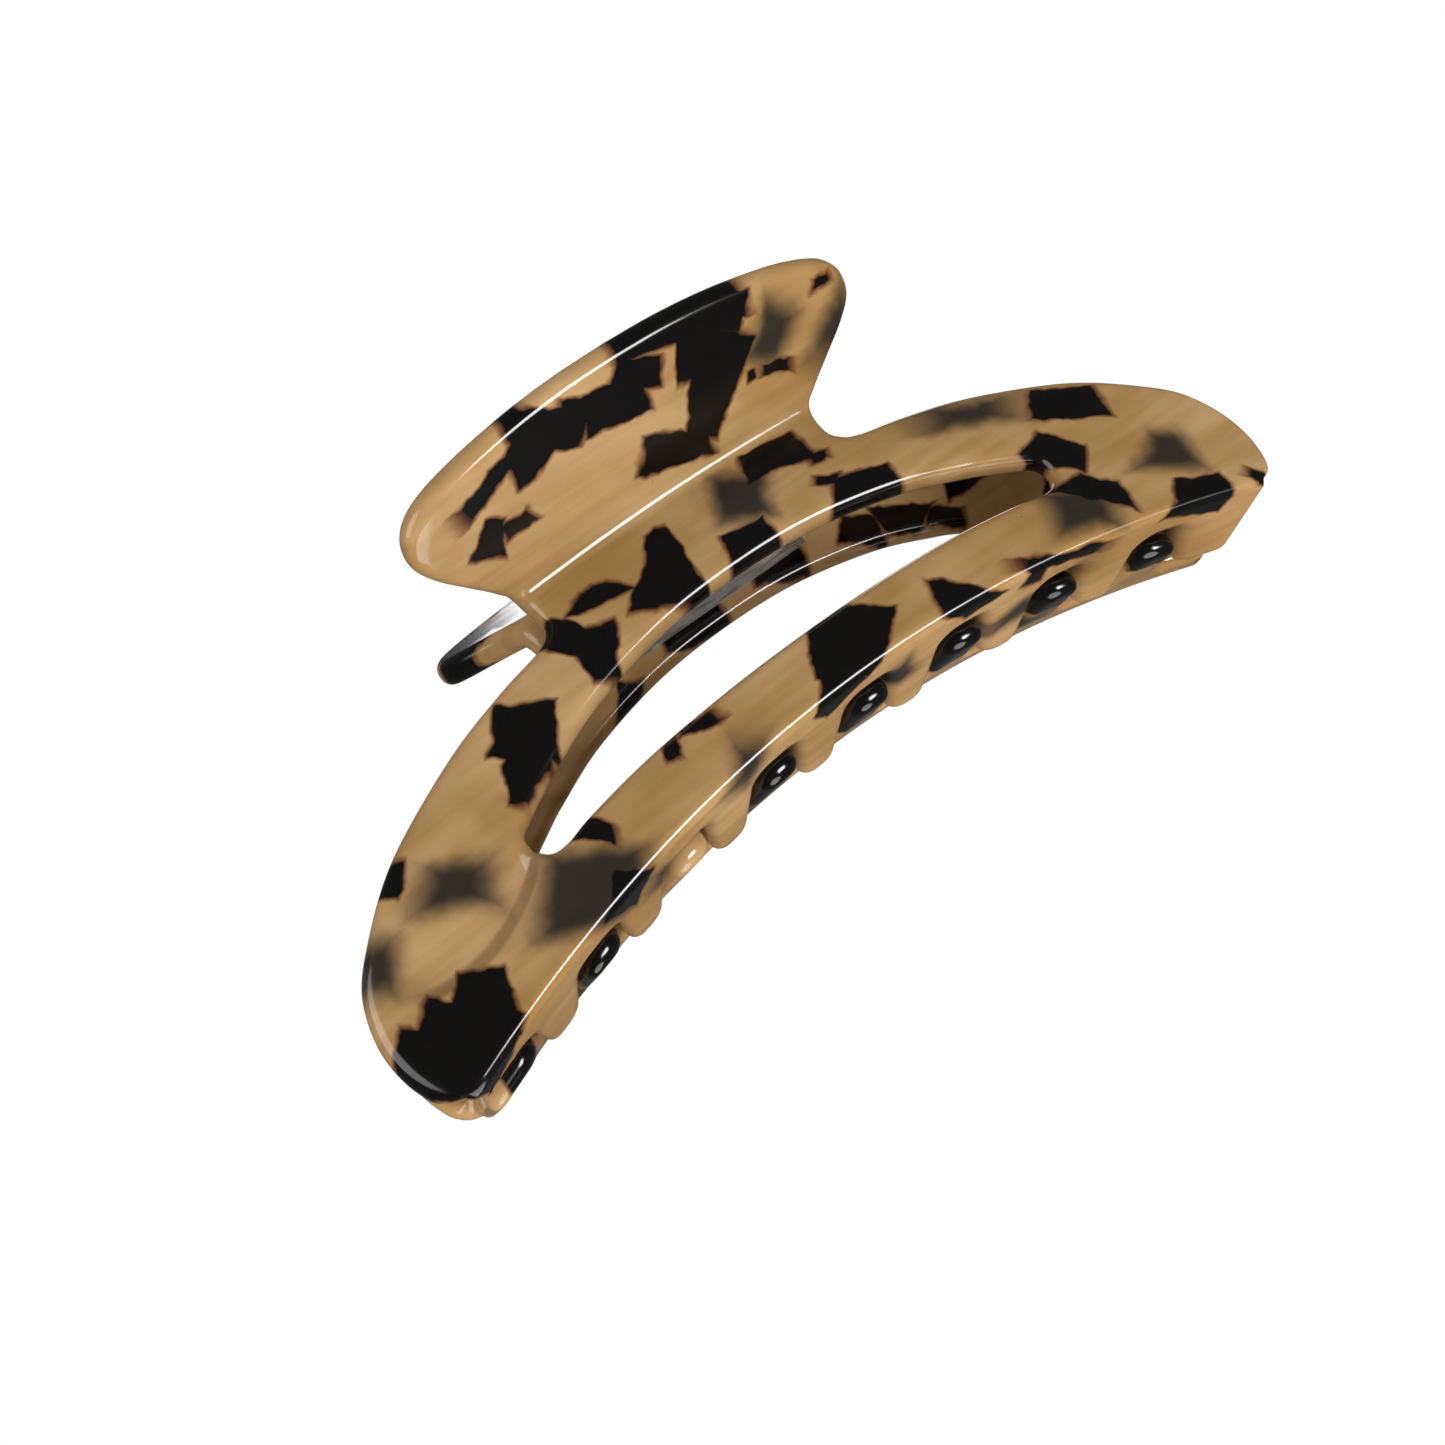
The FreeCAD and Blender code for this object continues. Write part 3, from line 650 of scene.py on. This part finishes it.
# Flakes of the back jaw, in the same columns; the dark patches on its tooth tips are painted shade, not flakes
BACK_FLAKES_AND_TIP_SHADE = [
    (3.5, -10.6, 3.4, 1.7, 14, 0.1), (-9.0, -10.2, 3.0, 1.8, 22, 0.1), (14.6, -13.4, 1.3, 1.9, 30, 0.2),
    (-19.6, -12.6, 2.3, 1.6, 35, 0.2), (-24.6, -14.4, 2.6, 1.4, 30, -0.3), (-29.0, -17.2, 1.9, 0.9, 40, 0),
    (16.0, 16.2, 4.6, 1.6, 8, 0), (-4.0, 12.0, 2.6, 3.4, 25, 0.2), (-20.0, 9.0, 2.8, 1.8, -20, 0.2),
    (-44.0, -24.0, 4.2, 3.2, 25, 0.2), (-34.0, -14.0, 2.4, 2.0, 0, 0.3), (30.0, -12.0, 3.2, 2.2, -30, 0.2),
    (44.0, -30.0, 3.6, 3.0, 40, 0.2), (-20.0, -27.0, 3.6, 1.8, -15, 0.2), (8.0, -26.5, 2.4, 2.8, 15, 0.4),
    (24.0, -31.0, 3.4, 2.2, 30, 0.1), (-2.0, -3.0, 3.2, 1.8, -15, 0), (38.0, -20.0, 1.6, 2.2, 10, 0),
    # Patches at each tooth place, -43 to -51 down the sheet: painted shade where the back tooth tips sit in
    # the front jaw's notches
    (-40.9, -50.5, 3.2, 4.2, 12, 0.1), (-28.3, -47.0, 3.0, 4.0, -8, 0.1), (-15.7, -44.5, 3.2, 4.2, 10, 0.1),
    (-3.1, -43.5, 3.0, 4.4, -6, 0.1), (9.4, -43.8, 3.2, 4.2, 8, 0), (34.6, -48.5, 3.4, 4.6, 6, 0.1),
    (46.4, -51.0, 2.2, 2.6, 0, 0.2), (20.5, 8.5, 6.5, 4.2, 20, 0.1), (24.0, 12.5, 3.0, 2.0, 10, 0.2),
]
BACK_DEEP = [
    (22.0, -20.0, 4.0, 2.0, 0, 0), (-12.0, -28.0, 3.4, 2.2, 20, 0), (40.0, -40.0, 3.0, 2.2, 0, 0),
    (8.0, 6.0, 3.0, 2.4, 30, 0), (-50.0, -34.0, 2.4, 3.0, 0, 0), (-26.0, -40.0, 3.2, 1.6, 10, 0),
    (14.0, -38.0, 2.6, 2.0, -20, 0),
]


def flake_chain(tree, group, place, flakes):
    """Distance to the nearest of several flakes, and of the painted shade patches listed with them."""
    nearest_so_far = None
    for x, y, wide, high, lean, taper in flakes:
        made = node(tree, "ShaderNodeGroup", node_tree=group)
        tree.links.new(place, made.inputs["Place"])
        made.inputs["Centre"].default_value = (x, y, 0)
        made.inputs["Turn"].default_value = (0, 0, math.radians(lean))
        made.inputs["Half size"].default_value = (wide, high, 1)
        made.inputs["Taper"].default_value = taper
        made.inputs["Scale"].default_value = min(wide, high)
        if nearest_so_far is not None:
            tree.links.new(nearest_so_far, made.inputs["Nearest so far"])
        nearest_so_far = made.outputs[0]
    return nearest_so_far


def acetate_material(name, colours, groups, near, deep, seed, scatter):
    """Polished tortoiseshell acetate with its own set of flakes; the back jaw's set also holds painted shade
    on its tooth tips.
    """
    material = bpy.data.materials.new(name)
    material.use_nodes = True
    tree = material.node_tree
    shader = tree.nodes["Principled BSDF"]
    spot = node(tree, "ShaderNodeGroup", node_tree=groups["sheet"])
    spot.inputs["Wander"].default_value = 0.55
    spot.inputs["Seed"].default_value = seed
    body = node(tree, "ShaderNodeGroup", node_tree=groups["acetate"])
    body.inputs["Scatter"].default_value = scatter
    body.inputs["Seed"].default_value = seed
    tree.links.new(spot.outputs["Straight"], body.inputs["Straight"])
    tree.links.new(flake_chain(tree, groups["flake_and_shade"], spot.outputs["Place"], near), body.inputs["Near"])
    tree.links.new(flake_chain(tree, groups["flake_and_shade"], spot.outputs["Place"], deep), body.inputs["Deep"])
    tree.links.new(body.outputs["Color"], shader.inputs["Base Color"])
    pressed = node(tree, "ShaderNodeBump", {"Strength": 1.0, "Distance": 0.0012},
                   {"Height": end_ridge(tree, spot.outputs["Straight"])})
    bump = node(tree, "ShaderNodeBump", {"Strength": 0.12, "Distance": 0.0003},
                {"Height": body.outputs["Height"], "Normal": pressed.outputs[0]})
    tree.links.new(bump.outputs[0], shader.inputs["Normal"])
    shader.inputs["Roughness"].default_value = 0.14
    shader.inputs["IOR"].default_value = 1.48
    shader.inputs["Subsurface Weight"].default_value = 0.45
    shader.inputs["Subsurface Radius"].default_value = (1.0, 0.55, 0.25)
    shader.inputs["Subsurface Scale"].default_value = 0.0022
    return material


def end_ridge(tree, place):
    """Height of the soft ridge that runs on from one end of the slot where the sheet was pressed."""
    parts = node(tree, "ShaderNodeSeparateXYZ", links={0: place})
    across = maths(tree, "ADD", parts.outputs[0], RIDGE_MIDDLE)
    line = maths(tree, "MULTIPLY_ADD", maths(tree, "MULTIPLY", across, across), RIDGE_CURVE, RIDGE_LEVEL)
    above = maths(tree, "SUBTRACT", parts.outputs[1], line)
    ridge = maths(tree, "MULTIPLY", ramp(tree, above, -0.85, 0.85), ramp(tree, above, 7.0, 0.9))
    ends = maths(tree, "MULTIPLY", ramp(tree, parts.outputs[0], -52.5, -49.0),
                 ramp(tree, parts.outputs[0], -34.0, -36.5))
    return maths(tree, "MULTIPLY", ridge, ends)


def metal_material(name, colour, roughness, grain):
    """Plated metal with fine drawn lines and slightly uneven polish."""
    material = bpy.data.materials.new(name)
    material.use_nodes = True
    tree = material.node_tree
    shader = tree.nodes["Principled BSDF"]
    place = node(tree, "ShaderNodeTexCoord")
    drawn = node(tree, "ShaderNodeMapping", {"Scale": grain}, {"Vector": place.outputs["Object"]})
    lines = node(tree, "ShaderNodeTexNoise", {"Scale": 1.0, "Detail": 3.0}, {"Vector": drawn.outputs[0]})
    patch = node(tree, "ShaderNodeTexNoise", {"Scale": 260.0, "Detail": 2.0},
                 {"Vector": place.outputs["Object"]})
    tone = mix(tree, ramp(tree, patch.outputs[0], 0.35, 0.7), tuple(c * 0.82 for c in colour), tuple(colour))
    tree.links.new(tone, shader.inputs["Base Color"])
    tree.links.new(ramp(tree, lines.outputs[0], 0.3, 0.75, roughness * 0.8, roughness * 1.35),
                   shader.inputs["Roughness"])
    bump = node(tree, "ShaderNodeBump", {"Strength": 0.15, "Distance": 0.00004},
                {"Height": lines.outputs[0]})
    tree.links.new(bump.outputs[0], shader.inputs["Normal"])
    shader.inputs["Metallic"].default_value = 1.0
    return material


# ---------------------------------------------------------------- operators

def crease_height(sizes):
    """Height of the neck crease, in mm, from the top of the front jaw."""
    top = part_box("front_jaw")[1].z / MM
    reach = HANDLE_EDGE[0][1]
    return top - reach * math.cos(sizes.handle_lean) - sizes.sheet / MM * math.sin(sizes.handle_lean)


class CLIP_OT_jaws(Operator):
    """Cut, round and bend the two jaws from tortoiseshell sheet"""

    bl_idname = "clip.jaws"
    bl_label = "Jaws"

    def execute(self, context):
        sizes, colours = context.scene.clip_sizes, context.scene.clip_colours
        jaw = Jaw(sizes, crease_height(sizes))
        groups = {"flake_and_shade": flake_group(), "sheet": sheet_group(), "acetate": acetate_group(colours)}
        front = acetate_material("Tortoiseshell front", colours, groups, FRONT_NEAR, FRONT_DEEP, 0.0, 0.0)
        back = acetate_material("Tortoiseshell back", colours, groups, BACK_FLAKES_AND_TIP_SHADE, BACK_DEEP, 3.7, 0.04)
        for name, body, nodes, material, turn in (
                ("Front_jaw_sheet", "front_half", "front_jaw", front, 0.0),
                ("Back_jaw_sheet", "back_half", "back_jaw", back, math.pi)):
            bm = flat_jaw(jaw)
            round_rim(bm, sizes.rim_round / MM)
            cut_grid(bm, jaw)
            map_sheet(bm)
            bend_jaw(bm, jaw)
            bmesh.ops.rotate(bm, verts=bm.verts, cent=(0, 0, 0), matrix=Matrix.Rotation(turn, 3, "Z"))
            add_piece(name, bm, body, [nodes], material)
        return {"FINISHED"}


class CLIP_OT_hinge(Operator):
    """Give the hinge leaves, anchors and pin their plated steel"""

    bl_idname = "clip.hinge"
    bl_label = "Hinge"

    def execute(self, context):
        colours = context.scene.clip_colours
        stamped = metal_material("Plated leaf", colours.steel, 0.30, (300, 9000, 9000))
        turned = metal_material("Plated pin", colours.steel, 0.22, (9000, 500, 500))
        for name, material in (("front_hinge_leaf", stamped), ("back_hinge_leaf", stamped),
                               ("front_leaf_anchors", turned), ("back_leaf_anchors", turned),
                               ("hinge_pin", turned)):
            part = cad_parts[name]
            part.data.materials.clear()
            part.data.materials.append(material)
        return {"FINISHED"}


class CLIP_OT_spring(Operator):
    """Smooth the torsion spring taken from its CAD mesh and give it spring wire"""

    bl_idname = "clip.spring"
    bl_label = "Spring"

    def execute(self, context):
        bm = bmesh.new()
        bm.from_mesh(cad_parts["torsion_spring"].data)
        bmesh.ops.remove_doubles(bm, verts=bm.verts, dist=1e-6)
        for face in bm.faces:
            face.smooth = True
        wire = metal_material("Spring wire", context.scene.clip_colours.wire, 0.2, (2500, 2500, 2500))
        piece = add_piece("Torsion_spring_wire", bm, None, ["torsion_spring"], wire)
        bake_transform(piece)
        return {"FINISHED"}


class CLIP_OT_stage(Operator):
    """Set the pale floor, the soft lights and the camera"""

    bl_idname = "clip.stage"
    bl_label = "Stage"

    def execute(self, context):
        scene = context.scene
        focus = Vector((0, 0, crease_height(scene.clip_sizes) * MM))
        azimuth, elevation, roll = math.radians(-16.48), math.radians(-13.22), math.radians(-40.06)
        back = Vector((math.sin(azimuth) * math.cos(elevation), -math.cos(azimuth) * math.cos(elevation),
                       math.sin(elevation)))
        level = Vector((math.cos(azimuth), math.sin(azimuth), 0))
        upright = back.cross(level)
        right = level * math.cos(roll) + upright * math.sin(roll)
        up = upright * math.cos(roll) - level * math.sin(roll)

        stand_off, aside, below = 0.1543, 0.0064, 0.0219
        lens = bpy.data.cameras.new("Camera")
        lens.lens = 34.74
        lens.sensor_width = 36.0
        lens.clip_start = 0.005
        camera = bpy.data.objects.new("Camera", lens)
        spot = focus + back * stand_off + right * aside - up * below
        turn = Matrix((right, up, back)).transposed().to_4x4()
        camera.matrix_world = Matrix.Translation(spot) @ turn
        scene.collection.objects.link(camera)
        scene.camera = camera

        # name, way from the clip seen by the camera (right, up, towards it), distance, size, watts
        for name, way, distance, size, power in (
                ("Key", (0.66, -0.06, 0.75), 0.55, 0.18, 2.0),
                ("Fill", (-0.80, 0.05, 0.60), 0.60, 0.45, 1.7),
                ("Back", (-0.20, 0.55, -0.80), 0.60, 0.40, 1.2),
                ("Under", (0.45, -0.80, 0.30), 0.60, 0.50, 2.6)):
            lamp = bpy.data.lights.new(name, "AREA")
            lamp.shape = "DISK"
            lamp.size = size
            lamp.energy = power
            lamp_object = bpy.data.objects.new(name, lamp)
            offset = (right * way[0] + up * way[1] + back * way[2]).normalized() * distance
            aim = offset.to_track_quat("Z", "Y").to_matrix().to_4x4()
            lamp_object.matrix_world = Matrix.Translation(focus + offset) @ aim
            scene.collection.objects.link(lamp_object)

        bm = bmesh.new()
        bmesh.ops.create_circle(bm, cap_ends=True, segments=96, radius=3.0)
        mesh = bpy.data.meshes.new("Floor")
        bm.to_mesh(mesh)
        bm.free()
        floor = bpy.data.objects.new("Floor", mesh)
        scene.collection.objects.link(floor)
        floor.visible_glossy = False
        floor.visible_shadow = False
        mesh.materials.append(floor_material())
        scene.world = studio_world()
        scene.view_settings.view_transform = "Standard"
        return {"FINISHED"}


def floor_material():
    """Pale matt floor that can be seen through from underneath."""
    material = bpy.data.materials.new("Pale floor")
    material.use_nodes = True
    tree = material.node_tree
    shader = tree.nodes["Principled BSDF"]
    shader.inputs["Base Color"].default_value = (0.86, 0.86, 0.85, 1)
    shader.inputs["Roughness"].default_value = 0.9
    clear = node(tree, "ShaderNodeBsdfTransparent")
    side = node(tree, "ShaderNodeNewGeometry")
    either = node(tree, "ShaderNodeMixShader", links={0: side.outputs["Backfacing"],
                                                      1: shader.outputs[0], 2: clear.outputs[0]})
    tree.links.new(either.outputs[0], tree.nodes["Material Output"].inputs["Surface"])
    return material


def studio_world():
    """White surround behind the clip, dimmer where it only lights it."""
    world = bpy.data.worlds.new("Studio")
    world.use_nodes = True
    tree = world.node_tree
    sky = tree.nodes["Background"]
    sky.inputs["Color"].default_value = (1, 1, 1, 1)
    sky.inputs["Strength"].default_value = 1.0
    dim = node(tree, "ShaderNodeBackground", {"Color": (1, 1, 1, 1), "Strength": 0.46})
    path = node(tree, "ShaderNodeLightPath")
    both = node(tree, "ShaderNodeMixShader", links={0: path.outputs["Is Camera Ray"],
                                                    1: dim.outputs[0], 2: sky.outputs[0]})
    faint = node(tree, "ShaderNodeBackground", {"Color": (1, 1, 1, 1), "Strength": 0.1})
    last = node(tree, "ShaderNodeMixShader", links={0: path.outputs["Is Glossy Ray"],
                                                    1: both.outputs[0], 2: faint.outputs[0]})
    tree.links.new(last.outputs[0], tree.nodes["World Output"].inputs["Surface"])
    return world


class CLIP_PT_panel(Panel):
    """Lists the clip's pieces in the order they are made"""

    bl_label = "Claw Clip"
    bl_idname = "CLIP_PT_panel"
    bl_space_type = "VIEW_3D"
    bl_region_type = "UI"
    bl_category = "Claw Clip"

    def draw(self, context):
        column = self.layout.column()
        for name in ("sheet", "crease_round", "fold_round", "rim_round"):
            column.prop(context.scene.clip_sizes, name)
        for name in ("honey", "cream", "flake_and_shade"):
            column.prop(context.scene.clip_colours, name)
        for operator in OPERATORS:
            column.operator(operator.bl_idname)


OPERATORS = (CLIP_OT_jaws, CLIP_OT_hinge, CLIP_OT_spring, CLIP_OT_stage)
CLASSES = (ClipSizes, ClipColours) + OPERATORS + (CLIP_PT_panel,)


def register():
    for cls in CLASSES:
        bpy.utils.register_class(cls)
    bpy.types.Scene.clip_sizes = PointerProperty(type=ClipSizes)
    bpy.types.Scene.clip_colours = PointerProperty(type=ClipColours)


def unregister():
    del bpy.types.Scene.clip_colours
    del bpy.types.Scene.clip_sizes
    for cls in reversed(CLASSES):
        bpy.utils.unregister_class(cls)


def main():
    """Makes every piece, then the stage."""
    register()
    bpy.ops.clip.jaws()
    bpy.ops.clip.hinge()
    bpy.ops.clip.spring()
    bpy.ops.clip.stage()
    bpy.context.view_layer.update()


if __name__ == "__main__":
    main()
